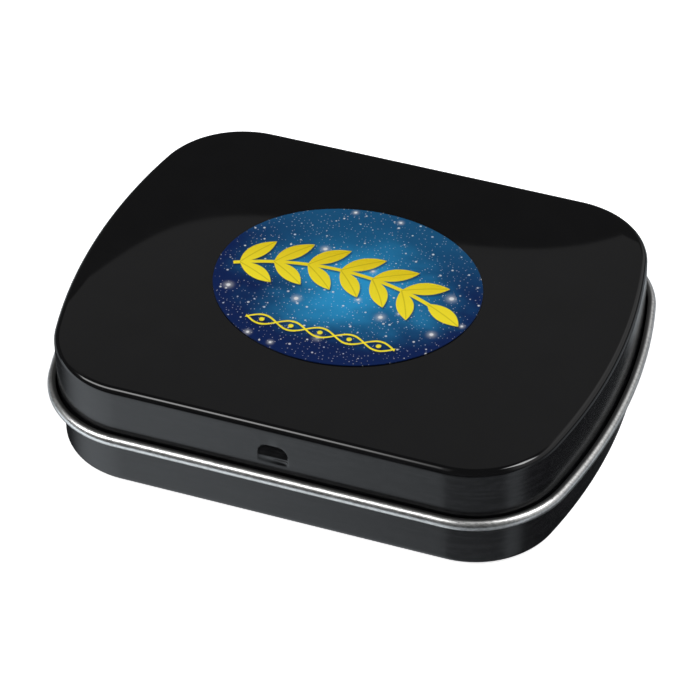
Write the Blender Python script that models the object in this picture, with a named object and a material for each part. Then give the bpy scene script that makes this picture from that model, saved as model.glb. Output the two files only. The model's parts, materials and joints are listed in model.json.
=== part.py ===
"""Hinged mint tin drawn from thin tinplate.

A low tray with rounded corners, and a lid that swings on two tongues rolled
round narrow bars in the tray's back wall. An oval label lies on the lid.
Metres, +Z up, origin under the middle of the tray. The front faces -Y and
the hinge is at +Y.
"""

import math

import bmesh
import bpy
from mathutils import Vector

MM = 0.001

# Sheet, and the running gap between the lid's skirt and the tray's wall
SHEET = 0.20 * MM
FIT = 0.28 * MM

# Plan of the lid's skirt over its outer face: straight long sides, bowed ends
LID_LENGTH = 60.0 * MM
LID_WIDTH = 46.2 * MM
END_RADIUS = 64.0 * MM
CORNER_RADIUS = 10.0 * MM

# Lid, with heights above the surface that the tin stands on
SHOULDER_HEIGHT = 13.5 * MM
SHOULDER_RADIUS = 0.7 * MM
CROWN = 0.7 * MM
END_FLATNESS = 4
CORNER_LIFT = 0.735
CURL_HEIGHT = 6.75 * MM
CURL_REACH = 1.12 * MM
CURL_END = math.radians(122)

# Tray
FLOOR_RADIUS = 0.7 * MM
RIM_RADIUS = 0.5 * MM
RIM_END = math.radians(235)
SWING_GAP = 0.03 * MM

# Hinge: tongues of the lid rolled round bars between slots in the tray's back wall
TONGUE_WIDTH = 8.0 * MM
TONGUE_SPACING = 27.0 * MM
TONGUE_LAP = 0.6 * MM
TONGUE_END = math.radians(255)
BAR_HEIGHT = 0.8 * MM
LOOP_GAP = 0.1 * MM
SLOT_SIDE_GAP = 0.25 * MM
NOTCH_SIDE_GAP = 0.5 * MM
HINGE_DROP = 0.35 * MM

# Catch: one long press in the front of the skirt, a little off the middle, which nests in one in the tray
PRESS_LENGTH = 3.8 * MM
PRESS_HEIGHT = 2.6 * MM
PRESS_DEPTH = 0.45 * MM
PRESS_X = -0.55 * MM
PRESS_MIDDLE = 9.8 * MM

# Oval label on the lid's panel, stuck on a little off the middle
LABEL_LENGTH = 29.4 * MM
LABEL_WIDTH = 25.5 * MM
LABEL_X = -0.7 * MM
LABEL_Y = 0.1 * MM
LABEL_SHEET = 0.10 * MM
LABEL_GAP = 0.03 * MM

# How finely round shapes are divided
END_STEPS = 4
CORNER_STEPS = 8
SIDE_STEPS = 2
PANEL_STEPS = 8
BEND_STEPS = 4
CURL_STEPS = 10
RIM_STEPS = 8
LOOP_STEPS = 14
PRESS_STEPS = 20
OVAL_STEPS = 64

# Edges that are bent more than this stay sharp in the shading
SHARP_ANGLE = math.radians(35)

# Sizes that follow from those above
CURL_RADIUS = (CURL_REACH + SHEET) / 2
CURL_OFFSET = CURL_REACH - CURL_RADIUS
TRAY_OFFSET = -(SHEET + FIT)
LOOP_INNER = math.hypot(BAR_HEIGHT / 2, SHEET / 2) + LOOP_GAP
LOOP_OUTER = LOOP_INNER + SHEET
LOOP_MIDDLE = (LOOP_INNER + LOOP_OUTER) / 2
HINGE_Y = LID_WIDTH / 2 + TRAY_OFFSET - SHEET / 2
HINGE_Z = CURL_HEIGHT - CURL_RADIUS - HINGE_DROP
HINGE = Vector((0, HINGE_Y, HINGE_Z))
TONGUE_MIDDLES = (-TONGUE_SPACING / 2, TONGUE_SPACING / 2)


def wall_height():
    """Height at which the tray's wall turns into its rim.

    The front of the wall swings on a circle round the hinge as the lid opens,
    so it stands no higher than the skirt's front lets it pass.
    """
    reach = HINGE_Y + LID_WIDTH / 2 + TRAY_OFFSET
    swing = reach + FIT - SWING_GAP
    return HINGE_Z + math.sqrt(swing**2 - reach**2)


def arc(centre, radius, start, end, steps):
    """Points on an arc, both ends included."""
    turns = [start + (end - start) * i / steps for i in range(steps + 1)]
    return [(centre[0] + radius * math.cos(t), centre[1] + radius * math.sin(t)) for t in turns]


def outline(offset, share=1.0):
    """The skirt's plan moved outwards by offset, then drawn in to a share of its size."""
    end_x = LID_LENGTH / 2 - END_RADIUS
    corner_y = LID_WIDTH / 2 - CORNER_RADIUS
    turn = math.asin(corner_y / (END_RADIUS - CORNER_RADIUS))
    corner_x = end_x + (END_RADIUS - CORNER_RADIUS) * math.cos(turn)
    quarter = arc((end_x, 0), END_RADIUS + offset, 0, turn, END_STEPS)
    quarter += arc((corner_x, corner_y), CORNER_RADIUS + offset, turn, math.pi / 2, CORNER_STEPS)[1:]
    side_y = LID_WIDTH / 2 + offset
    quarter += [(corner_x * (1 - i / SIDE_STEPS), side_y) for i in range(1, SIDE_STEPS + 1)]
    half = quarter + [(-x, y) for x, y in reversed(quarter[:-1])]
    whole = half + [(x, -y) for x, y in reversed(half[1:-1])]
    return [(x * share, y * share) for x, y in whole]


def ring(offset, z):
    """The plan as a level ring of points."""
    return [(x, y, z) for x, y in outline(offset)]


def crown(x, y):
    """Rise of the panel at a place: a smooth dome, flat along its middle, that runs out at the panel's edge."""
    across = abs(x / (LID_LENGTH / 2 - SHOULDER_RADIUS)) ** END_FLATNESS
    up = (y / (LID_WIDTH / 2 - SHOULDER_RADIUS)) ** 2
    return CROWN * (1 - across - up + CORNER_LIFT * across * up)


def panel(lift):
    """Rings of the crowned panel, from its edge to its middle, raised by lift."""
    shares = [i / PANEL_STEPS for i in range(PANEL_STEPS, 0, -1)]
    plans = [outline(-SHOULDER_RADIUS, share) for share in shares]
    return [[(x, y, SHOULDER_HEIGHT + lift + crown(x, y)) for x, y in plan] for plan in plans]


def loft(rings):
    """A closed body through level rings, with its first and last ring filled."""
    bm = bmesh.new()
    loops = []
    for points in rings:
        verts = [bm.verts.new(p) for p in points]
        loops.append([bm.edges.new((verts[i - 1], verts[i])) for i in range(len(verts))])
    for lower, upper in zip(loops, loops[1:]):
        bmesh.ops.bridge_loops(bm, edges=lower + upper)
    for loop in (loops[0], loops[-1]):
        bmesh.ops.edgeloop_fill(bm, edges=loop)
    bmesh.ops.recalc_face_normals(bm, faces=bm.faces)
    return bm


def lid_shape():
    """The drawn lid: panel, shoulder, skirt and an outward curl that shows the inner face."""
    bend = (-SHOULDER_RADIUS, SHOULDER_HEIGHT - SHOULDER_RADIUS)
    curl = (CURL_OFFSET, CURL_HEIGHT)
    roll = (math.pi, 2 * math.pi + CURL_END)
    inside = arc(bend, SHOULDER_RADIUS - SHEET, math.pi / 2, 0, BEND_STEPS)[1:]
    inside += arc(curl, CURL_RADIUS, *roll, CURL_STEPS)
    outside = arc(curl, CURL_RADIUS - SHEET, *reversed(roll), CURL_STEPS)
    outside += arc(bend, SHOULDER_RADIUS, 0, math.pi / 2, BEND_STEPS)[:-1]
    rings = panel(-SHEET)[::-1]
    rings += [ring(offset, z) for offset, z in inside + outside]
    return loft(rings + panel(0))


def tray_shape():
    """The drawn tray: flat floor, rounded foot, upright wall and a rim rolled inwards."""
    foot = (TRAY_OFFSET - FLOOR_RADIUS, FLOOR_RADIUS)
    rim = (TRAY_OFFSET - RIM_RADIUS, wall_height())
    inside = arc(foot, FLOOR_RADIUS - SHEET, -math.pi / 2, 0, BEND_STEPS)
    inside += arc(rim, RIM_RADIUS - SHEET, 0, RIM_END, RIM_STEPS)
    outside = arc(rim, RIM_RADIUS, RIM_END, 0, RIM_STEPS)
    outside += arc(foot, FLOOR_RADIUS, 0, -math.pi / 2, BEND_STEPS)
    return loft([ring(offset, z) for offset, z in inside + outside])


def label_shape():
    """A thin sheet that follows the crown, wider than the label that is cut from it."""
    return loft(panel(LABEL_GAP)[::-1] + panel(LABEL_GAP + LABEL_SHEET))


def add_box(bm, low, high):
    """A box between two corners."""
    size = Vector(high) - Vector(low)
    made = bmesh.ops.create_cube(bm, size=1)["verts"]
    bmesh.ops.scale(bm, verts=made, vec=size)
    bmesh.ops.translate(bm, verts=made, vec=Vector(low) + size / 2)


def slots_shape():
    """Two slots for each tongue, with a bar of wall left between them."""
    bm = bmesh.new()
    half = TONGUE_WIDTH / 2 + SLOT_SIDE_GAP
    near, far = BAR_HEIGHT / 2, LOOP_OUTER + LOOP_GAP
    for x in TONGUE_MIDDLES:
        for low, high in ((near, far), (-far, -near)):
            add_box(bm, (x - half, HINGE_Y - SHEET, HINGE_Z + low), (x + half, HINGE_Y + SHEET, HINGE_Z + high))
    return bm


def notch_top():
    """Height of the skirt's edge where the curl is left out for a tongue."""
    return CURL_HEIGHT + CURL_RADIUS + LOOP_GAP


def notches_shape():
    """The stretches of curl that are left out for the tongues."""
    bm = bmesh.new()
    half = TONGUE_WIDTH / 2 + NOTCH_SIDE_GAP
    back = LID_WIDTH / 2
    for x in TONGUE_MIDDLES:
        add_box(bm, (x - half, back - 2 * SHEET, HINGE_Z), (x + half, back + 2 * CURL_REACH, notch_top()))
    return bm


def tongue_path():
    """Points (y, z, half thickness) down from inside the skirt's sheet and round the bar."""
    skirt_y = LID_WIDTH / 2 - SHEET / 2
    loop_y = HINGE_Y + LOOP_MIDDLE
    path = [
        (skirt_y, notch_top() + TONGUE_LAP, SHEET / 4),
        (skirt_y, notch_top() + SHEET / 2, SHEET / 4),
        (loop_y, notch_top() - TONGUE_LAP, SHEET / 2),
    ]
    loop = arc((HINGE_Y, HINGE_Z), LOOP_MIDDLE, 0, -TONGUE_END, LOOP_STEPS)
    return path + [(y, z, SHEET / 2) for y, z in loop]


def add_strip(bm, path, x, width):
    """A strip of sheet along a path in the YZ plane, centred on x."""
    left, right = [], []
    for i, (y, z, half) in enumerate(path):
        before, after = path[max(i - 1, 0)], path[min(i + 1, len(path) - 1)]
        along = Vector((after[0] - before[0], after[1] - before[1])).normalized()
        left.append((x - width / 2, y - along.y * half, z + along.x * half))
        right.append((x - width / 2, y + along.y * half, z - along.x * half))
    section = bm.faces.new([bm.verts.new(p) for p in left + right[::-1]])
    made = bmesh.ops.extrude_face_region(bm, geom=[section])["geom"]
    moved = [part for part in made if isinstance(part, bmesh.types.BMVert)]
    bmesh.ops.translate(bm, verts=moved, vec=(width, 0, 0))


def tongues_shape():
    """Both hinge tongues."""
    bm = bmesh.new()
    for x in TONGUE_MIDDLES:
        add_strip(bm, tongue_path(), x, TONGUE_WIDTH)
    bmesh.ops.recalc_face_normals(bm, faces=bm.faces)
    return bm


def press_hollow(wall_y):
    """The hollow that the catch's punch leaves in a front wall whose outer face is at wall_y."""
    return press_lobe(wall_y, 0)


def press_back(wall_y, top):
    """The back of the press, one sheet thicker than its hollow, from inside the wall and up to a height."""
    bm = press_lobe(wall_y, SHEET)
    for place, towards in (((0, wall_y + SHEET / 2, 0), (0, -1, 0)), ((0, 0, top), (0, 0, 1))):
        everything = bm.verts[:] + bm.edges[:] + bm.faces[:]
        cut = bmesh.ops.bisect_plane(bm, geom=everything, plane_co=place, plane_no=towards, clear_outer=True)
        rim = [part for part in cut["geom_cut"] if isinstance(part, bmesh.types.BMEdge)]
        bmesh.ops.contextual_create(bm, geom=rim)
    bmesh.ops.recalc_face_normals(bm, faces=bm.faces)
    return bm


def press_lobe(wall_y, more):
    """An ellipsoid on the wall's outer face, larger than the punch by more on every side."""
    bm = bmesh.new()
    bmesh.ops.create_uvsphere(bm, u_segments=PRESS_STEPS, v_segments=PRESS_STEPS // 2, radius=1)
    size = (PRESS_LENGTH / 2 + more, PRESS_DEPTH + more, PRESS_HEIGHT / 2 + more)
    bmesh.ops.scale(bm, verts=bm.verts, vec=size)
    bmesh.ops.translate(bm, verts=bm.verts, vec=(PRESS_X, wall_y, PRESS_MIDDLE))
    return bm


def oval_shape():
    """An upright oval prism that cuts the label to its outline."""
    bm = bmesh.new()
    bmesh.ops.create_cone(
        bm, cap_ends=True, segments=OVAL_STEPS, radius1=0.5, radius2=0.5, depth=4 * CROWN
    )
    bmesh.ops.scale(bm, verts=bm.verts, vec=(LABEL_LENGTH, LABEL_WIDTH, 1))
    bmesh.ops.translate(bm, verts=bm.verts, vec=(LABEL_X, LABEL_Y, SHOULDER_HEIGHT + CROWN))
    return bm


def finish(name, colour, roughness, metallic):
    """A plain Principled material."""
    material = bpy.data.materials.new(name)
    material.use_nodes = True
    shader = material.node_tree.nodes["Principled BSDF"]
    shader.inputs["Base Color"].default_value = (*colour, 1)
    shader.inputs["Roughness"].default_value = roughness
    shader.inputs["Metallic"].default_value = metallic
    return material


def add_object(name, bm, carrier, origin):
    """A mesh object whose origin is at a world point, carried by an empty that stands there."""
    bmesh.ops.translate(bm, verts=bm.verts, vec=-origin)
    mesh = bpy.data.meshes.new(name)
    bm.to_mesh(mesh)
    bm.free()
    obj = bpy.data.objects.new(name, mesh)
    obj.parent = carrier
    bpy.context.scene.collection.objects.link(obj)
    return obj


def add_piece(name, bm, material, carrier, origin):
    """A visible piece, shaded smooth between its real edges."""
    obj = add_object(name, bm, carrier, origin)
    obj.data.materials.append(material)
    obj.data.shade_smooth()
    obj.data.set_sharp_from_angle(angle=SHARP_ANGLE)
    return obj


def combine(piece, name, bm, operation, carrier, origin):
    """A Boolean on a piece with a guide body that isn't part of the tin."""
    guide = add_object(name, bm, carrier, origin)
    guide.hide_render = True
    guide.display_type = "WIRE"
    modifier = piece.modifiers.new(name, "BOOLEAN")
    modifier.operation = operation
    modifier.solver = "EXACT"
    modifier.object = guide


def add_empty(name, place):
    """An empty that carries one body of the tin."""
    empty = bpy.data.objects.new(name, None)
    empty.location = place
    empty.empty_display_size = LID_WIDTH / 4
    bpy.context.scene.collection.objects.link(empty)
    return empty


def make_tray(lacquer):
    """The tray, with its hinge slots and its half of the catch."""
    origin = Vector((0, 0, 0))
    carrier = add_empty("tray_base", origin)
    tray = add_piece("tray", tray_shape(), lacquer, carrier, origin)
    front = -(LID_WIDTH / 2 + TRAY_OFFSET)
    combine(tray, "hinge_slots", slots_shape(), "DIFFERENCE", carrier, origin)
    rim_top = wall_height() + RIM_RADIUS
    combine(tray, "tray_press_back", press_back(front, rim_top), "UNION", carrier, origin)
    combine(tray, "tray_press_hollow", press_hollow(front), "DIFFERENCE", carrier, origin)


def make_lid(lacquer, carrier):
    """The lid, with its tongues and its half of the catch, turning about the hinge."""
    lid = add_piece("lid", lid_shape(), lacquer, carrier, HINGE)
    front = -LID_WIDTH / 2
    combine(lid, "curl_notches", notches_shape(), "DIFFERENCE", carrier, HINGE)
    combine(lid, "hinge_tongues", tongues_shape(), "UNION", carrier, HINGE)
    combine(lid, "lid_press_back", press_back(front, SHOULDER_HEIGHT), "UNION", carrier, HINGE)
    combine(lid, "lid_press_hollow", press_hollow(front), "DIFFERENCE", carrier, HINGE)


def make_label(print_blue, carrier):
    """The oval label, which rides on the lid."""
    label = add_piece("oval_label", label_shape(), print_blue, carrier, HINGE)
    combine(label, "label_oval", oval_shape(), "INTERSECT", carrier, HINGE)


def main():
    """Clears the scene and makes the tin."""
    for obj in list(bpy.data.objects):
        bpy.data.objects.remove(obj)
    lacquer = finish("black_lacquer", (0.008, 0.008, 0.009), 0.22, 0.0)
    print_blue = finish("label_print", (0.02, 0.12, 0.35), 0.3, 0.0)
    hinge = add_empty("lid_hinge", HINGE)
    make_tray(lacquer)
    make_lid(lacquer, hinge)
    make_label(print_blue, hinge)


main()
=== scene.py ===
"""Hinged mint tin: drawn tinplate with black lacquer outside, a bare rolled edge and an oval label.

The tray and the lid are each one sheet, drawn as a section, swept round the plan and given their
thickness at the end, so that the curl shows the sheet's bare inner face. Metres, +Z up, front at -Y.
"""

import json
import math

import bmesh
import bpy
from mathutils import Matrix, Vector


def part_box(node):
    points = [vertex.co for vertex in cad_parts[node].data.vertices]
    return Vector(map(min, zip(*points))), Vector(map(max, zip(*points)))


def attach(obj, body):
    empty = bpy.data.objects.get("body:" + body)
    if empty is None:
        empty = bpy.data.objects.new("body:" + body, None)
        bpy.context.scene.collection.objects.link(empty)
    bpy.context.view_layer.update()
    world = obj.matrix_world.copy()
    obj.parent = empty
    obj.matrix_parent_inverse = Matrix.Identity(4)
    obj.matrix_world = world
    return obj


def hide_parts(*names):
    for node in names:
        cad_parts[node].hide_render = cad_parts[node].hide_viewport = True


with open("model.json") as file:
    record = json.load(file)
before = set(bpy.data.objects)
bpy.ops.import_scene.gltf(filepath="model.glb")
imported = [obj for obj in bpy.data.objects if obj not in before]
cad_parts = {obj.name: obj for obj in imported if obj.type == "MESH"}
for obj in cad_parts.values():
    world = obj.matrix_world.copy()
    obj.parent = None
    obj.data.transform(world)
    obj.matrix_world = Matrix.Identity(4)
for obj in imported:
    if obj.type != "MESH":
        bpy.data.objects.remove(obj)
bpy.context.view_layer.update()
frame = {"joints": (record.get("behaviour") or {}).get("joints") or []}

bl_info = {
    "name": "Hinged mint tin",
    "version": (1, 0, 0),
    "blender": (4, 5, 0),
    "location": "3D View > Sidebar > Tin",
    "description": "Makes the lacquered sheet, the hinge, the label and the studio of a small mint tin",
    "category": "Object",
}

MM = 0.001
TOUCH = 0.0005 * MM
LID_LOW, LID_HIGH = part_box("lid")
TRAY_LOW, TRAY_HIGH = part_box("tray")
LABEL_LOW, LABEL_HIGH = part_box("oval_label")
HINGE = Vector(frame["joints"][0]["pos_m"])

# How finely round shapes are divided
END_STEPS = 10
CORNER_STEPS = 26
SHOULDER_STEPS = 14
CURL_STEPS = 44
FOOT_STEPS = 12
RIM_STEPS = 22
LOOP_STEPS = 28
PRESS_STEPS = 32
PANEL_RINGS = 26
LABEL_RINGS = 14
LABEL_SEGMENTS = 160
FLOOR_RINGS = (0.985, 0.9, 0.5, 0.1)
ABOVE_FOOT = 1.4
SHARP_ANGLE = math.radians(40)

# The panel's crown: the power by which it falls towards the ends, and the lift of its corners
END_FLATNESS = 4
CORNER_LIFT = 0.735

# The catch's press, in shares of its length, height and depth
PRESS_REACH = 0.52
PRESS_ROUNDNESS = 3.5
PRESS_LEDGE = 0.38
PRESS_STEEP_TOP = 0.2
PRESS_LIP = 0.05
GROOVE_DEPTH = 0.14
GROOVE_LEAN = 0.12

# The label's print, in millimetres from the label's middle
SPRIG_X, SPRIG_Y = -1.5, 1.9
SPRIG_BOW = 27.0
LEAF_PITCH = 3.7
LEAF_PAIRS = 3
LEAF_SLANT = math.radians(43)
LEAF_SIZE = (5.05, 1.95)
TIP_START = 10.9
TIP_SIZE = (5.0, 2.1)
STEM_HALF = 0.25
STEM_PAST_TIP = 0.9
TWINE_Y = -8.3
TWINE_LOOP = 3.3
TWINE_LOOPS = 2.55
TWINE_SWING = 0.72
TWINE_HALF = 0.13
BEAD_RADIUS = 0.29
PRINT_EDGE = 0.035
GLOW_SQUARES = (190.0, 120.0)
NET_SHIFT = 40.0
SHADE = (0.001, 0.003, 0.012)
SHADE_X, SHADE_Y, SHADE_EDGE = 0.22, -0.24, 0.22

# Strength and tint of the studio's cards
ROOM = 0.03
SKY = 0.045
OVERHEAD = 0.4
STRIP = 6.4
SMALL_LAMP = 10.5
BESIDE = 0.5
BEHIND = 0.16
NEAR_SWEEP = 1.28
FAR_SWEEP = 0.045
PATCH = 0.5
CORNER = 0.45
LOW = 0.4
COOL = (0.93, 1.0, 1.06)
WHITE = (1, 1, 1)

CAMERA_TARGET = Vector((-0.908, 0.862, 4.234)) * MM
FLOOR_HALF = 2.0
FLOOR_GAP = 0.02 * MM


def length(name, description, default):
    """A length that the sidebar shows."""
    return bpy.props.FloatProperty(
        name=name, description=description, default=default, precision=5, unit="LENGTH"
    )


def turn_of(name, description, degrees):
    """An angle that the sidebar shows."""
    return bpy.props.FloatProperty(
        name=name, description=description, default=math.radians(degrees), subtype="ANGLE"
    )


def share_of(name, description, default, highest=1.0):
    """A plain number from nothing to its highest."""
    return bpy.props.FloatProperty(
        name=name, description=description, default=default, min=0.0, soft_max=highest
    )


def tint(name, description, default):
    """A colour that the sidebar shows."""
    return bpy.props.FloatVectorProperty(
        name=name, description=description, default=default, size=3, min=0.0, max=1.0, subtype="COLOR"
    )


class TinSizes(bpy.types.PropertyGroup):
    """Sizes of the tin's two sheets, its hinge, its catch and its label."""

    sheet: length("Sheet", "Thickness of the tinplate", 0.20 * MM)
    curl_reach: length("Curl reach", "How far the curl stands out of the skirt", 1.12 * MM)
    curl_height: length("Curl height", "Height of the middle of the curl", 6.71 * MM)
    curl_end: turn_of("Curl end", "Where the curl's edge stops, past its outermost point", 112)
    end_radius: length("End radius", "Bow of the two ends, in plan", 64.0 * MM)
    corner_radius: length("Corner radius", "Corners of the skirt, in plan", 10.0 * MM)
    shoulder_height: length("Shoulder height", "Height of the panel's edge", 13.5 * MM)
    shoulder_radius: length("Shoulder radius", "Bend from the panel to the skirt", 0.7 * MM)
    foot_radius: length("Foot radius", "Bend from the floor to the tray's wall", 0.7 * MM)
    rim_radius: length("Rim radius", "Roll of the tray's rim", 0.5 * MM)
    rim_end: turn_of("Rim end", "How far the tray's rim is rolled inwards", 235)
    fit: length("Fit", "Gap between the tray's wall and the lid's skirt", 0.28 * MM)
    tongue_width: length("Tongue width", "Width of a hinge tongue", 8.0 * MM)
    tongue_spacing: length("Tongue spacing", "Distance between the middles of the tongues", 27.0 * MM)
    tongue_end: turn_of("Tongue end", "How far a tongue is rolled round its bar", 255)
    bar_height: length("Bar height", "Height of the bar of wall that a tongue turns on", 0.8 * MM)
    loop_gap: length("Loop gap", "Clearance of a tongue on its bar", 0.1 * MM)
    slot_side_gap: length("Slot side gap", "Clearance at the ends of a slot", 0.25 * MM)
    notch_side_gap: length("Notch side gap", "Clearance between a tongue and the curl", 0.5 * MM)
    tongue_lap: length("Tongue lap", "Height over which a tongue leaves the skirt", 0.6 * MM)
    press_length: length("Press length", "Length of the catch's press", 3.4 * MM)
    press_height: length("Press height", "Height of the catch's press", 2.6 * MM)
    press_depth: length("Press depth", "Depth of the catch's press", 0.45 * MM)
    press_x: length("Press place", "How far the press lies to the right of the middle", -0.36 * MM)
    press_middle: length("Press middle", "Height of the middle of the press", 9.7 * MM)
    label_gap: length("Label gap", "Adhesive under the label's film", 0.03 * MM)
    label_film: length("Label film", "Thickness of the label's film", 0.10 * MM)


class TinColours(bpy.types.PropertyGroup):
    """Colours of the lacquer, the bare tinplate and the label's print."""

    lacquer: tint("Lacquer", "Black lacquer", (0.0030, 0.0030, 0.0034))
    tinplate: tint("Tinplate", "Bare tinplate", (0.90, 0.90, 0.89))
    night: tint("Deep blue", "Edge of the label's print", (0.003, 0.016, 0.092))
    sea: tint("Bright blue", "Middle of the label's print", (0.026, 0.320, 0.640))
    teal: tint("Teal", "Top of the label's print", (0.012, 0.140, 0.300))
    gold: tint("Gold", "Bright end of the gold on the label", (1.0, 0.84, 0.030))
    old_gold: tint("Old gold", "Dark end of the gold on the label", (0.72, 0.50, 0.004))
    speck: tint("Speck", "Light dots on the label", (0.80, 0.80, 0.82))


class StageLook(bpy.types.PropertyGroup):
    """Camera and floor."""

    azimuth: turn_of("Azimuth", "How far the camera stands to the right of the front", 21.530)
    elevation: turn_of("Elevation", "How far the camera looks down", 41.198)
    roll: turn_of("Roll", "Turn of the camera round its own axis", -1.425)
    distance: length("Distance", "From the camera to the point it looks at", 420.93 * MM)
    lens: bpy.props.FloatProperty(
        name="Lens", description="Focal length on a sensor 36 mm wide", default=198.75, unit="CAMERA"
    )
    floor: tint("Floor", "Plain pale floor", (0.86, 0.86, 0.86))
    floor_glow: share_of("Floor glow", "Light that the pale floor adds to itself", 0.95)


def sizes():
    """The tin's sizes."""
    return bpy.context.scene.tin_sizes


def colours():
    """The tin's colours."""
    return bpy.context.scene.tin_colours


def stage_look():
    """The studio's settings."""
    return bpy.context.scene.tin_stage


# Plan and section

def half_length():
    """Half the skirt's length, over its outer face."""
    return LID_HIGH.x - sizes().curl_reach


def half_width():
    """Half the skirt's width, over its outer face."""
    return -LID_LOW.y - sizes().curl_reach


def corner_centre():
    """Middle of the front right corner's arc mirrored to the back, and the turn where it starts."""
    s = sizes()
    end_x = half_length() - s.end_radius
    y = half_width() - s.corner_radius
    turn = math.asin(y / (s.end_radius - s.corner_radius))
    return Vector((end_x + (s.end_radius - s.corner_radius) * math.cos(turn), y, 0)), turn


def verts_of(geom):
    """The vertices among bmesh parts."""
    return [part for part in geom if isinstance(part, bmesh.types.BMVert)]


def edges_of(geom):
    """The edges among bmesh parts."""
    return [part for part in geom if isinstance(part, bmesh.types.BMEdge)]


class Section:
    """A strip drawn through the tin's right end, in the XZ plane, by moving and turning its tip."""

    def __init__(self, x, z):
        self.bm = bmesh.new()
        self.tip = bmesh.ops.create_vert(self.bm, co=(x, 0, z))["vert"][0]

    def down_to(self, *heights):
        """Straight up or down, with a point at each height."""
        for z in heights:
            made = bmesh.ops.extrude_vert_indiv(self.bm, verts=[self.tip])["verts"]
            bmesh.ops.translate(self.bm, verts=made, vec=(0, 0, z - self.tip.co.z))
            self.tip = made[0]

    def turn(self, centre, angle, steps):
        """Round a centre in the XZ plane; a positive angle turns X towards -Z."""
        made = bmesh.ops.spin(
            self.bm, geom=[self.tip], cent=(centre[0], 0, centre[1]), axis=(0, 1, 0), angle=angle, steps=steps
        )
        self.tip = verts_of(made["geom_last"])[0]


def sweep(bm, stops):
    """The section round the whole plan: end arc, corner arc and straight side, mirrored twice."""
    s = sizes()
    corner, turn = corner_centre()
    last = bm.edges[:]
    end = Vector((half_length() - s.end_radius, 0, 0))
    for centre, angle, steps in ((end, turn, END_STEPS), (corner, math.pi / 2 - turn, CORNER_STEPS)):
        made = bmesh.ops.spin(bm, geom=last, cent=centre, axis=(0, 0, 1), angle=angle, steps=steps)
        last = edges_of(made["geom_last"])
    x = corner.x
    for stop in stops:
        made = bmesh.ops.extrude_edge_only(bm, edges=last)["geom"]
        bmesh.ops.translate(bm, verts=verts_of(made), vec=(stop - x, 0, 0))
        last = [edge for edge in edges_of(made) if abs(edge.verts[0].co.x - edge.verts[1].co.x) < TOUCH]
        x = stop
    for axis in "XY":
        everything = bm.verts[:] + bm.edges[:] + bm.faces[:]
        bmesh.ops.mirror(bm, geom=everything, matrix=Matrix.Identity(4), merge_dist=TOUCH, axis=axis)
    bmesh.ops.remove_doubles(bm, verts=bm.verts, dist=TOUCH)


def close_level(bm, z, shares):
    """Rings that shrink towards the middle of the level edge at a height, and the face that closes it."""
    open_edges = [edge for edge in bm.edges if len(edge.link_faces) < 2]
    loop = [edge for edge in open_edges if all(abs(v.co.z - z) < TOUCH for v in edge.verts)]
    before = 1.0
    for share in shares:
        ring = set(loop)
        made = bmesh.ops.extrude_edge_only(bm, edges=loop)["geom"]
        moved = verts_of(made)
        bmesh.ops.scale(bm, verts=moved, vec=(share / before, share / before, 1))
        inner = set(moved)
        loop = [edge for edge in edges_of(made) if edge not in ring and all(v in inner for v in edge.verts)]
        before = share
    bmesh.ops.edgeloop_fill(bm, edges=loop)


def face_towards(bm, z):
    """All faces turned one way, so that the middle of the level sheet faces along z."""
    bmesh.ops.recalc_face_normals(bm, faces=bm.faces)
    bm.faces.ensure_lookup_table()
    middle = min(bm.faces, key=lambda face: face.calc_center_median().xy.length)
    if middle.normal.z * z < 0:
        bmesh.ops.reverse_faces(bm, faces=bm.faces)


def straight_stops(*extra):
    """Places along a long side, from its corner to its middle, close together at the press."""
    half = PRESS_REACH * sizes().press_length - sizes().press_x
    fine = [half * (1 - i / PRESS_STEPS) for i in range(PRESS_STEPS + 1)]
    return sorted(extra, reverse=True) + fine


def press_stops(top, bottom):
    """Heights close together at the press, within two limits, from the top down."""
    s = sizes()
    high = s.press_middle + PRESS_REACH * s.press_height
    low = s.press_middle - PRESS_REACH * s.press_height
    heights = [high + (low - high) * i / PRESS_STEPS for i in range(PRESS_STEPS + 1)]
    return [z for z in heights if bottom < z < top]


def press_depth_at(x, z):
    """Depth of the press at a place: a flat-topped oval, steep at its top, over a shallow groove."""
    s = sizes()
    across = (x - s.press_x) / (0.5 * s.press_length)
    low = s.press_middle - 0.5 * s.press_height
    if abs(across) >= 1 or z <= low:
        return 0.0
    round_off = math.sqrt(1 - abs(across) ** PRESS_ROUNDNESS)
    ledge = low + PRESS_LEDGE * s.press_height
    up = (z - ledge) / ((1 - PRESS_LEDGE) * s.press_height * round_off)
    slope = 1 - PRESS_STEEP_TOP
    if up >= 1:
        share = 0.0
    elif up > slope:
        share = 0.5 + 0.5 * math.cos(math.pi * (up - slope) / PRESS_STEEP_TOP)
    elif up > 0:
        share = PRESS_LIP + (1 - PRESS_LIP) * up / slope
    else:
        groove = (z - low) / (ledge - low)
        deeper = GROOVE_DEPTH + GROOVE_LEAN * across
        share = PRESS_LIP * groove + deeper * math.sin(math.pi * groove) ** 2
    return s.press_depth * round_off * share


def press_in(bm, wall_y, top):
    """Pushes the catch's press into a front wall."""
    reach = 3 * sizes().rim_radius
    for vert in bm.verts:
        if vert.co.y < wall_y + reach and vert.co.z < top:
            vert.co.y += press_depth_at(vert.co.x, vert.co.z)


def mark_curl(bm, centre):
    """Notes on each point of the section its turn up the curl, from the outermost point to the cut edge."""
    layer = bm.verts.layers.float.new("up_the_curl")
    for vert in bm.verts:
        turn = math.atan2(vert.co.z - centre[1], vert.co.x - centre[0])
        if vert.co.z > centre[1] and turn < sizes().curl_end + SHARP_ANGLE:
            vert[layer] = turn


def in_box(point, low, high):
    """Whether a point lies in a box."""
    return all(low[i] <= point[i] <= high[i] for i in range(3))


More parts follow.
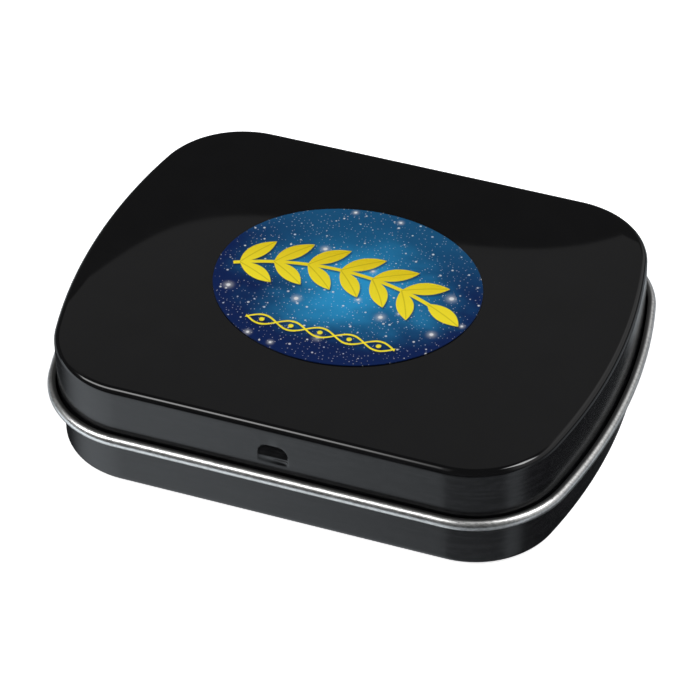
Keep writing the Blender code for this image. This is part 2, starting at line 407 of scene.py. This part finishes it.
def cut_out(bm, low, high):
    """Takes out the faces whose middles lie in a box."""
    gone = [face for face in bm.faces if in_box(face.calc_center_median(), low, high)]
    bmesh.ops.delete(bm, geom=gone, context="FACES")


def tongue_middles():
    """Places of the two hinge tongues along the back."""
    half = sizes().tongue_spacing / 2
    return (-half, half)


def loop_outer():
    """Outer radius of a tongue's loop round its bar."""
    s = sizes()
    return math.hypot(s.bar_height / 2, s.sheet / 2) + s.loop_gap + s.sheet


def notch_top():
    """Height of the skirt's edge where the curl is left out for a tongue."""
    s = sizes()
    return s.curl_height + (s.curl_reach + s.sheet) / 2 + s.loop_gap


# Shader writing

class Signal:
    """One output socket that takes part in Python sums, each of which adds a Math node."""

    def __init__(self, paint, socket):
        self.paint = paint
        self.socket = socket

    def math(self, operation, *others):
        """A Math node with this socket first."""
        return self.paint.maths(operation, self, *others)

    def also(self, output):
        """Another output of the same node."""
        return Signal(self.paint, self.socket.node.outputs[output])

    def __add__(self, other):
        return self.math("ADD", other)

    __radd__ = __add__

    def __sub__(self, other):
        return self.math("SUBTRACT", other)

    def __rsub__(self, other):
        return self.paint.maths("SUBTRACT", other, self)

    def __mul__(self, other):
        return self.math("MULTIPLY", other)

    __rmul__ = __mul__

    def __truediv__(self, other):
        return self.math("DIVIDE", other)

    def __rtruediv__(self, other):
        return self.paint.maths("DIVIDE", other, self)

    def __gt__(self, other):
        return self.math("GREATER_THAN", other)

    def __lt__(self, other):
        return self.math("LESS_THAN", other)

    def __neg__(self):
        return self.math("MULTIPLY", -1.0)

    def __abs__(self):
        return self.math("ABSOLUTE")


class Paint:
    """The node tree of one material or world, emptied and ready for its nodes."""

    def __init__(self, owner):
        owner.use_nodes = True
        self.tree = owner.node_tree
        self.tree.nodes.clear()

    def node(self, kind, settings=None, output=0, **inputs):
        """Adds a node: its type, its settings, and the values or links of its sockets, by name or place."""
        made = self.tree.nodes.new(kind)
        for name, value in (settings or {}).items():
            setattr(made, name, value)
        for name, value in inputs.items():
            socket = made.inputs[int(name[1:])] if name[1:].isdigit() else self.input_named(made, name)
            self.feed(socket, value)
        return Signal(self, made.outputs[output]) if made.outputs else None

    @staticmethod
    def input_named(node, name):
        """The socket whose label is a keyword's words."""
        wanted = name.replace("_", " ").lower()
        return next(socket for socket in node.inputs if socket.enabled and socket.name.lower() == wanted)

    def feed(self, socket, value):
        """Links a signal to a socket, or sets a plain value on it."""
        if isinstance(value, Signal):
            self.tree.links.new(value.socket, socket)
        elif socket.type == "RGBA" and len(value) == 3:
            socket.default_value = (*value, 1)
        else:
            socket.default_value = value

    def maths(self, operation, *values):
        """A Math node of signals and numbers, in their order."""
        sockets = {f"_{place}": value for place, value in enumerate(values)}
        return self.node("ShaderNodeMath", {"operation": operation}, **sockets)

    def split(self, vector):
        """The three parts of a vector."""
        made = self.node("ShaderNodeSeparateXYZ", _0=vector)
        return tuple(made.also(part) for part in range(3))

    def join(self, x, y, z):
        """A vector of three numbers."""
        return self.node("ShaderNodeCombineXYZ", _0=x, _1=y, _2=z)

    def smooth(self, value, low, high):
        """Rises softly from 0 to 1 as a value goes from low to high."""
        settings = {"interpolation_type": "SMOOTHSTEP"}
        return self.node("ShaderNodeMapRange", settings, Value=value, From_Min=low, From_Max=high)

    def band(self, value, low, high, soft):
        """1 between two limits and 0 outside them, with soft sides."""
        return self.smooth(value, low - soft, low + soft) * (1 - self.smooth(value, high - soft, high + soft))

    def mix(self, factor, first, second):
        """A colour between two colours."""
        return self.node("ShaderNodeMix", {"data_type": "RGBA"}, 2, _0=factor, _6=first, _7=second)

    def noise(self, vector, scale, detail=2.0, roughness=0.5):
        """Soft noise between 0 and 1."""
        return self.node("ShaderNodeTexNoise", Vector=vector, Scale=scale, Detail=detail, Roughness=roughness)

    def coordinates(self, kind="Object"):
        """Coordinates of the place that is shaded."""
        return self.node("ShaderNodeTexCoord").also(kind)

    def surface(self, **inputs):
        """A Principled surface linked to the material's output."""
        self.node("ShaderNodeOutputMaterial", Surface=self.node("ShaderNodeBsdfPrincipled", **inputs))

    def bump(self, height, distance):
        """A Bump node for a height in the range 0 to 1."""
        return self.node("ShaderNodeBump", Height=height, Distance=distance, Strength=1.0)


def darker(colour, share):
    """A colour times a number."""
    return [share * part for part in colour]


def finish(name, paint_on):
    """The material of a name, made and painted for the first piece that asks."""
    made = bpy.data.materials.get(name)
    if made is None:
        made = bpy.data.materials.new(name)
        paint_on(Paint(made))
    return made


def black_lacquer(p):
    """Stoved black lacquer: mirror-like on the panel, softened by fine draw lines on the walls."""
    place = p.coordinates()
    x, y, z = p.split(place)
    top = sizes().shoulder_height
    wall = 1 - p.smooth(z, top - 0.9 * MM, top - 0.2 * MM)
    cloud = p.noise(place, 260.0, 3.0)
    lines = p.noise(p.join(x * 0.06, y * 0.06, z), 3400.0, 3.0, 0.6)
    mottle = p.noise(p.join(x * 0.5, y * 0.5, z), 2300.0, 2.0, 0.6)
    peel = p.noise(place, 900.0, 2.0)
    height = peel * 0.12 * (1 - wall) + (lines + mottle * 0.3) * wall
    dark = colours().lacquer
    drawn = p.smooth(lines * 0.6 + mottle * 0.4, 0.42, 0.62) * wall
    even = p.mix(cloud, darker(dark, 0.7), darker(dark, 1.4))
    p.surface(
        Base_Color=p.mix(drawn, even, darker(dark, 2.8)),
        Roughness=0.025 + wall * 0.10 + cloud * 0.015 + (lines + mottle) * wall * 0.05,
        Normal=p.bump(height, 0.0018 * MM),
        IOR=1.5,
    )


def bare_tinplate(p):
    """Bare tin coating with a fine rolled grain, rougher towards the curl's cut edge, where painted shade
    darkens its colour in the crease against the skirt.
    """
    place = p.coordinates()
    x, y, z = p.split(place)
    grain = p.noise(p.join(x * 0.35, y, z), 4200.0, 3.0, 0.65)
    cloud = p.noise(place, 420.0, 3.0)
    turn = p.node("ShaderNodeAttribute", {"attribute_name": "up_the_curl"}, output=2)
    # Painted shade: the tin's colour darkens towards the curl's cut edge, where it turns into the crease
    # against the skirt; the same mask makes it rougher there.
    rougher_and_shaded = p.smooth(turn, math.radians(56), math.radians(84))
    metal = colours().tinplate
    bright = p.mix(p.smooth(grain + cloud * 0.4, 0.45, 0.85), darker(metal, 0.66), metal)
    p.surface(
        Base_Color=p.mix(rougher_and_shaded, bright, darker(metal, 0.16)),
        Metallic=1.0,
        Roughness=0.25 + cloud * 0.12 + grain * 0.08 + rougher_and_shaded * 0.1,
        Normal=p.bump(grain, 0.0045 * MM),
    )


def dots(p, x, y, spacing, radius, share, core=0.45):
    """Round dots of mixed sizes in some cells of an uneven net, each faded outside its core."""
    settings = {"voronoi_dimensions": "2D"}
    away = p.node("ShaderNodeTexVoronoi", settings, Vector=p.join(x, y, 0.0), Scale=1 / spacing)
    chance, size, _ = p.split(away.also("Color"))
    reach = (0.45 + size * 0.55) * (radius / spacing)
    return (1 - p.smooth(away, reach * core, reach)) * (chance < share)


def leaf(along, across, long, wide):
    """How far inside a pointed leaf a place lies, with the leaf's base at 0 along its axis."""
    middle = along / (0.5 * long) - 1.0
    return 0.5 * wide * (1 - middle * middle) - across


def sprig(x, y):
    """How far inside a bowed sprig a place lies, and how far it is from the nearest leaf's rib."""
    up = y + SPRIG_BOW
    along = x.math("ARCTAN2", up) * SPRIG_BOW
    side = abs((x * x + up * up).math("SQRT") - SPRIG_BOW)
    step = along.math("FLOORED_MODULO", LEAF_PITCH)
    reach = step * math.cos(LEAF_SLANT) + side * math.sin(LEAF_SLANT)
    rib = abs(side * math.cos(LEAF_SLANT) - step * math.sin(LEAF_SLANT))
    beyond = along > TIP_START
    paired = leaf(reach, rib, *LEAF_SIZE).math("MINIMUM", LEAF_PAIRS * LEAF_PITCH - abs(along))
    last = leaf(along - TIP_START, side, *TIP_SIZE)
    stem = (STEM_HALF - side).math("MINIMUM", TIP_START + STEM_PAST_TIP - abs(along))
    return paired.math("MAXIMUM", last).math("MAXIMUM", stem), rib * (1 - beyond) + side * beyond


def twine(x, y):
    """How far inside two crossing waves and the beads between them a place lies."""
    loops = x / TWINE_LOOP + 0.5
    wave = (loops * math.pi).math("SINE") * TWINE_SWING
    lines = TWINE_HALF - abs(abs(y) - abs(wave))
    gap = (loops.math("FLOORED_MODULO", 1.0) - 0.5) * TWINE_LOOP
    bead = BEAD_RADIUS - (gap * gap + y * y).math("SQRT")
    return lines.math("MAXIMUM", bead).math("MINIMUM", TWINE_LOOPS * TWINE_LOOP - abs(x))


def gold_mask(p, x, y, soft):
    """The golden sprig and the fine twine below it, and the distance from the leaves' ribs."""
    inside, rib = sprig(x - SPRIG_X, y - SPRIG_Y)
    return p.smooth(inside.math("MAXIMUM", twine(x, y - TWINE_Y)), -soft, soft), rib


def label_print(p):
    """Printed film: deep and bright blue fields, light dots, a golden sprig and a fine twine."""
    place = p.coordinates()
    x, y, _ = p.split(place)
    x, y = (x - label_middle().x) / MM, (y - label_middle().y) / MM
    c = colours()
    cloud = p.noise(place, 110.0, 3.0, 0.5)
    mist = p.noise(p.join(x * 0.10 + 3.7, y * 0.17, 0.0), 1.0, 3.0, 0.55)
    far = (x * x / GLOW_SQUARES[0] + y * y / GLOW_SQUARES[1]).math("SQRT")
    glow = 1 - p.smooth(far + (cloud + mist) * 0.8 - 0.8, 0.05, 1.0)
    field = p.mix(glow, c.night, c.sea)
    field = p.mix(p.smooth(y + mist * 6.0, 5.0, 13.0) * 0.6, field, c.teal)
    fine = dots(p, x, y, spacing=0.50, radius=0.085, share=0.62)
    middling = dots(p, x + NET_SHIFT, y, spacing=1.55, radius=0.19, share=0.6)
    large = dots(p, x, y + NET_SHIFT, spacing=4.6, radius=0.36, share=0.5)
    halo = dots(p, x, y + NET_SHIFT, spacing=4.6, radius=1.3, share=0.5, core=0.0)
    field = p.mix(fine * 0.55, field, c.speck)
    field = p.mix(halo * halo * 0.45, field, c.speck)
    field = p.mix((middling * 0.8).math("MAXIMUM", large), field, c.speck)
    shade, _ = gold_mask(p, x - SHADE_X, y - SHADE_Y, SHADE_EDGE)
    field = p.mix(shade * 0.62, field, SHADE)
    gold, rib = gold_mask(p, x, y, PRINT_EDGE)
    metal = p.mix(p.smooth(y, -3.0, 9.0), c.gold, c.old_gold)
    metal = p.mix((1 - p.smooth(rib, 0.04, 0.10)) * 0.35, metal, darker(c.old_gold, 0.45))
    p.surface(
        Base_Color=p.mix(gold, field, metal),
        Roughness=0.28 + cloud * 0.08,
        Normal=p.bump(p.noise(place, 700.0, 2.0), 0.0008 * MM),
        IOR=1.25,
    )


# Pieces

def sheet_finishes():
    """The finishes of a sheet's outer face, and of its inner face and cut edges."""
    return [finish("black_lacquer_finish", black_lacquer), finish("bare_tinplate_finish", bare_tinplate)]


def add_piece(name, bm, materials):
    """A new object at the origin, with its place in its mesh."""
    mesh = bpy.data.meshes.new(name)
    bm.to_mesh(mesh)
    bm.free()
    for material in materials:
        mesh.materials.append(material)
    obj = bpy.data.objects.new(name, mesh)
    bpy.context.scene.collection.objects.link(obj)
    return obj


def thicken(obj, thickness):
    """Gives a lacquered face its sheet, bare on its other face and its cut edges, and settles it."""
    modifier = obj.modifiers.new("sheet", "SOLIDIFY")
    modifier.thickness = thickness
    modifier.offset = -1
    modifier.use_even_offset = True
    modifier.use_quality_normals = True
    modifier.material_offset = len(obj.data.materials) - 1
    modifier.material_offset_rim = len(obj.data.materials) - 1
    solid = bpy.data.meshes.new_from_object(obj.evaluated_get(bpy.context.evaluated_depsgraph_get()))
    obj.modifiers.clear()
    obj.data = solid
    solid.shade_smooth()
    solid.set_sharp_from_angle(angle=SHARP_ANGLE)


def dome(x, y):
    """How much of the crown a place on the panel has: flat along the middle, falling at the ends."""
    s = sizes()
    across = (abs(x) / (half_length() - s.shoulder_radius)) ** END_FLATNESS
    up = (y / (half_width() - s.shoulder_radius)) ** 2
    return 1 - across - up + CORNER_LIFT * across * up


def crown():
    """Rise of the panel's middle over its edge."""
    return LID_HIGH.z - sizes().shoulder_height


def make_lid():
    """The lid's sheet: panel, shoulder, skirt, curl, catch and both hinge tongues."""
    s = sizes()
    edge = half_length()
    section = Section(edge - s.shoulder_radius, s.shoulder_height)
    bend = s.shoulder_height - s.shoulder_radius
    section.turn((edge - s.shoulder_radius, bend), math.pi / 2, SHOULDER_STEPS)
    section.down_to(bend - s.shoulder_radius / 2)
    section.down_to(*press_stops(bend, notch_top()), notch_top(), s.curl_height)
    curl_centre = (edge + (s.curl_reach - s.sheet) / 2, s.curl_height)
    section.turn(curl_centre, -(math.pi + s.curl_end), CURL_STEPS)
    bm = section.bm
    mark_curl(bm, curl_centre)
    tongue = s.tongue_spacing / 2
    near, far = s.tongue_width / 2, s.tongue_width / 2 + s.notch_side_gap
    sweep(bm, straight_stops(tongue - far, tongue - near, tongue + near, tongue + far))
    close_level(bm, s.shoulder_height, [1 - i / PANEL_RINGS for i in range(1, PANEL_RINGS)])
    for vert in bm.verts:
        if vert.co.z > bend - TOUCH:
            vert.co.z += crown() * dome(vert.co.x, vert.co.y)
    press_in(bm, -half_width(), s.shoulder_height)
    back = half_width()
    for middle in tongue_middles():
        low = (middle - far, back - s.sheet, HINGE.z)
        cut_out(bm, low, (middle + far, back + 2 * s.curl_reach, notch_top()))
        add_tongue(bm, middle, back)
    face_towards(bm, 1)
    return bm


def add_tongue(bm, middle, back):
    """One hinge tongue, drawn down from the notch's edge and rolled round its bar."""
    s = sizes()
    half = s.tongue_width / 2
    low = (middle - half - TOUCH, back - TOUCH, notch_top() - TOUCH)
    high = (middle + half + TOUCH, back + TOUCH, notch_top() + TOUCH)
    last = [edge for edge in bm.edges if all(in_box(v.co, low, high) for v in edge.verts)]
    for y, z in ((HINGE.y + loop_outer(), notch_top() - s.tongue_lap), (HINGE.y + loop_outer(), HINGE.z)):
        made = bmesh.ops.extrude_edge_only(bm, edges=last)["geom"]
        moved = verts_of(made)
        bmesh.ops.translate(bm, verts=moved, vec=(0, y - moved[0].co.y, z - moved[0].co.z))
        last = [edge for edge in edges_of(made) if abs(edge.verts[0].co.z - edge.verts[1].co.z) < TOUCH]
    bmesh.ops.spin(bm, geom=last, cent=HINGE, axis=(1, 0, 0), angle=-s.tongue_end, steps=LOOP_STEPS)


def make_tray():
    """The tray's sheet: floor, foot, wall, rolled rim, hinge slots and its half of the catch."""
    s = sizes()
    wall = half_length() - s.sheet - s.fit
    section = Section(wall - s.foot_radius, 0)
    section.turn((wall - s.foot_radius, s.foot_radius), -math.pi / 2, FOOT_STEPS)
    rim = TRAY_HIGH.z - s.rim_radius
    near, far = s.bar_height / 2, loop_outer() + s.loop_gap
    slots = [HINGE.z + step for step in (-far, -near, near, far)]
    section.down_to(ABOVE_FOOT * s.foot_radius, *slots, *reversed(press_stops(rim, slots[-1])), rim)
    section.turn((wall - s.rim_radius, rim), -s.rim_end, RIM_STEPS)
    bm = section.bm
    tongue = s.tongue_spacing / 2
    half = s.tongue_width / 2 + s.slot_side_gap
    sweep(bm, straight_stops(tongue - half, tongue + half))
    close_level(bm, 0.0, FLOOR_RINGS)
    back = half_width() - s.sheet - s.fit
    press_in(bm, -back, TRAY_HIGH.z + s.rim_radius)
    for middle in tongue_middles():
        for low, high in ((slots[0], slots[1]), (slots[2], slots[3])):
            cut_out(bm, (middle - half, back - s.sheet, low), (middle + half, back + s.sheet, high))
    face_towards(bm, -1)
    return bm


def label_middle():
    """Where the label's middle lies on the panel."""
    middle = (LABEL_LOW + LABEL_HIGH) / 2
    return Vector((middle.x, middle.y, 0))


def make_label():
    """The label's oval film, which lies on the crown."""
    s = sizes()
    bm = bmesh.new()
    ring = bmesh.ops.create_circle(bm, cap_ends=False, radius=1, segments=LABEL_SEGMENTS)["verts"]
    size = Vector(((LABEL_HIGH.x - LABEL_LOW.x) / 2, (LABEL_HIGH.y - LABEL_LOW.y) / 2, 1))
    bmesh.ops.scale(bm, verts=ring, vec=size)
    close_level(bm, 0.0, [1 - i / LABEL_RINGS for i in range(1, LABEL_RINGS)])
    bmesh.ops.translate(bm, verts=bm.verts, vec=label_middle())
    for vert in bm.verts:
        rise = crown() * dome(vert.co.x, vert.co.y)
        vert.co.z = s.shoulder_height + rise + s.label_gap + s.label_film
    face_towards(bm, 1)
    return bm


class TIN_OT_tray(bpy.types.Operator):
    """Makes the tray's sheet with its rolled rim and hinge slots"""

    bl_idname = "tin.make_tray"
    bl_label = "Make tray"

    def execute(self, context):
        tray = add_piece("tray_sheet", make_tray(), sheet_finishes())
        thicken(tray, sizes().sheet)
        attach(tray, "tray_base")
        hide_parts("tray")
        return {"FINISHED"}


class TIN_OT_lid(bpy.types.Operator):
    """Makes the lid's sheet with its curl, catch and hinge tongues"""

    bl_idname = "tin.make_lid"
    bl_label = "Make lid"

    def execute(self, context):
        lid = add_piece("lid_sheet", make_lid(), sheet_finishes())
        thicken(lid, sizes().sheet)
        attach(lid, "lid_body")
        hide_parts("lid")
        return {"FINISHED"}


class TIN_OT_label(bpy.types.Operator):
    """Makes the printed oval film on the lid"""

    bl_idname = "tin.make_label"
    bl_label = "Make label"

    def execute(self, context):
        label = add_piece("label_film", make_label(), [finish("label_print_finish", label_print)])
        thicken(label, sizes().label_film)
        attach(label, "lid_body")
        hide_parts("oval_label")
        return {"FINISHED"}


# Studio

def studio_cards(p):
    """Strength and colour of the studio in each direction: distant cards, and the sweep under the tin.

    In degrees, tip is the angle from the front horizon over the top, height the angle above the horizon
    and turn the angle from the front, round to the right. x is how far a direction points right.
    """
    x, y, z = p.split(p.coordinates("Generated"))
    degrees = math.degrees(1)
    tip = z.math("ARCTAN2", -y) * degrees
    height = z.math("ARCSINE") * degrees
    turn = x.math("ARCTAN2", -y) * degrees
    above = p.smooth(z, 0.0, 0.05)
    overhead = p.band(tip, 38, 76, 6) * p.band(x, -0.8, -0.17, 0.07)
    strip = p.band(tip, 48, 69, 4) * p.band(x, -0.75, -0.26, 0.04)
    small_lamp = p.band(tip, 86, 105, 4) * p.band(x, 0.30, 0.63, 0.05)
    behind = p.smooth(height, 36.4, 36.6) * (1 - p.smooth(height, 52, 60)) * p.smooth(y, 0.0, 0.1)
    beside = p.band(turn, 62, 172, 10) * p.band(height, 10, 50, 5)
    upper = SKY + behind * BEHIND + overhead * OVERHEAD + strip * STRIP
    upper = upper + small_lamp * SMALL_LAMP + beside * BESIDE
    nearer = NEAR_SWEEP - p.smooth(turn, -27.5, -16)
    right = p.smooth(turn, -15, 150)
    slope = p.smooth(tip, -122, -40) * (1 - p.smooth(tip, -31, -18))
    patch = p.band(turn, 58, 80, 8) * PATCH
    sweep_card = (nearer * (1 - right) + FAR_SWEEP * right + patch) * slope
    corner = p.band(abs(turn), 171, 200, 3) * p.band(height, -54, -30, 4)
    low = p.band(height, -31, -4, 4) * p.smooth(abs(turn), 70, 110)
    lower = sweep_card + corner * CORNER + low * LOW
    return upper * above + lower * (1 - above) + ROOM, p.mix(above, COOL, WHITE)


def studio_world():
    """The world that the tin mirrors and that lights the floor."""
    world = bpy.data.worlds.new("studio")
    p = Paint(world)
    strength, colour = studio_cards(p)
    light = p.node("ShaderNodeBackground", Color=colour, Strength=strength)
    p.node("ShaderNodeOutputWorld", Surface=light)
    bpy.context.scene.world = world


def floor_paper(p):
    """Matt pale paper that glows a little, so that the floor stays even."""
    look = stage_look()
    p.surface(
        Base_Color=look.floor, Roughness=0.9, Emission_Color=look.floor, Emission_Strength=look.floor_glow
    )


def pale_floor():
    """Plain pale floor, which the tin's gloss doesn't mirror."""
    bm = bmesh.new()
    bmesh.ops.create_grid(bm, x_segments=1, y_segments=1, size=FLOOR_HALF)
    bmesh.ops.translate(bm, verts=bm.verts, vec=(0, 0, TRAY_LOW.z - FLOOR_GAP))
    floor = add_piece("floor", bm, [finish("pale_floor", floor_paper)])
    floor.visible_glossy = False


def camera_place(look):
    """The camera's matrix, from the point it looks at and its angles."""
    azimuth, elevation = look.azimuth, look.elevation
    out = Vector((
        math.sin(azimuth) * math.cos(elevation), -math.cos(azimuth) * math.cos(elevation), math.sin(elevation)
    ))
    turned = out.to_track_quat("Z", "Y").to_matrix().to_4x4()
    where = Matrix.Translation(CAMERA_TARGET + out * look.distance)
    return where @ turned @ Matrix.Rotation(look.roll, 4, "Z")


def studio_camera():
    """The camera at the photograph's angle."""
    look = stage_look()
    camera = bpy.data.cameras.new("camera")
    camera.lens = look.lens
    camera.sensor_width = 36
    camera.clip_start = 0.01
    obj = bpy.data.objects.new("camera", camera)
    bpy.context.scene.collection.objects.link(obj)
    obj.matrix_world = camera_place(look)
    bpy.context.scene.camera = obj


class TIN_OT_stage(bpy.types.Operator):
    """Makes the pale floor, the studio's light and the camera"""

    bl_idname = "tin.make_stage"
    bl_label = "Make stage"

    def execute(self, context):
        studio_world()
        pale_floor()
        studio_camera()
        context.scene.view_settings.view_transform = "Standard"
        return {"FINISHED"}


class TIN_PT_sidebar(bpy.types.Panel):
    """Sizes and colours of the tin, with a button for each piece"""

    bl_idname = "TIN_PT_sidebar"
    bl_label = "Mint tin"
    bl_space_type = "VIEW_3D"
    bl_region_type = "UI"
    bl_category = "Tin"

    def draw(self, context):
        for group in (context.scene.tin_sizes, context.scene.tin_colours, context.scene.tin_stage):
            box = self.layout.box()
            for name in group.__annotations__:
                box.prop(group, name)
        for operator in OPERATORS:
            self.layout.operator(operator.bl_idname)


OPERATORS = (TIN_OT_tray, TIN_OT_lid, TIN_OT_label, TIN_OT_stage)
GROUPS = {"tin_sizes": TinSizes, "tin_colours": TinColours, "tin_stage": StageLook}


def register():
    """Adds the classes and their settings to Blender."""
    for name, group in GROUPS.items():
        bpy.utils.register_class(group)
        setattr(bpy.types.Scene, name, bpy.props.PointerProperty(type=group))
    for cls in (*OPERATORS, TIN_PT_sidebar):
        bpy.utils.register_class(cls)


def unregister():
    """Takes them out again."""
    for cls in (TIN_PT_sidebar, *reversed(OPERATORS)):
        bpy.utils.unregister_class(cls)
    for name, group in reversed(GROUPS.items()):
        delattr(bpy.types.Scene, name)
        bpy.utils.unregister_class(group)


def main():
    """Makes the whole scene."""
    register()
    for operator in OPERATORS:
        family, name = operator.bl_idname.split(".")
        getattr(getattr(bpy.ops, family), name)()


if __name__ == "__main__":
    main()
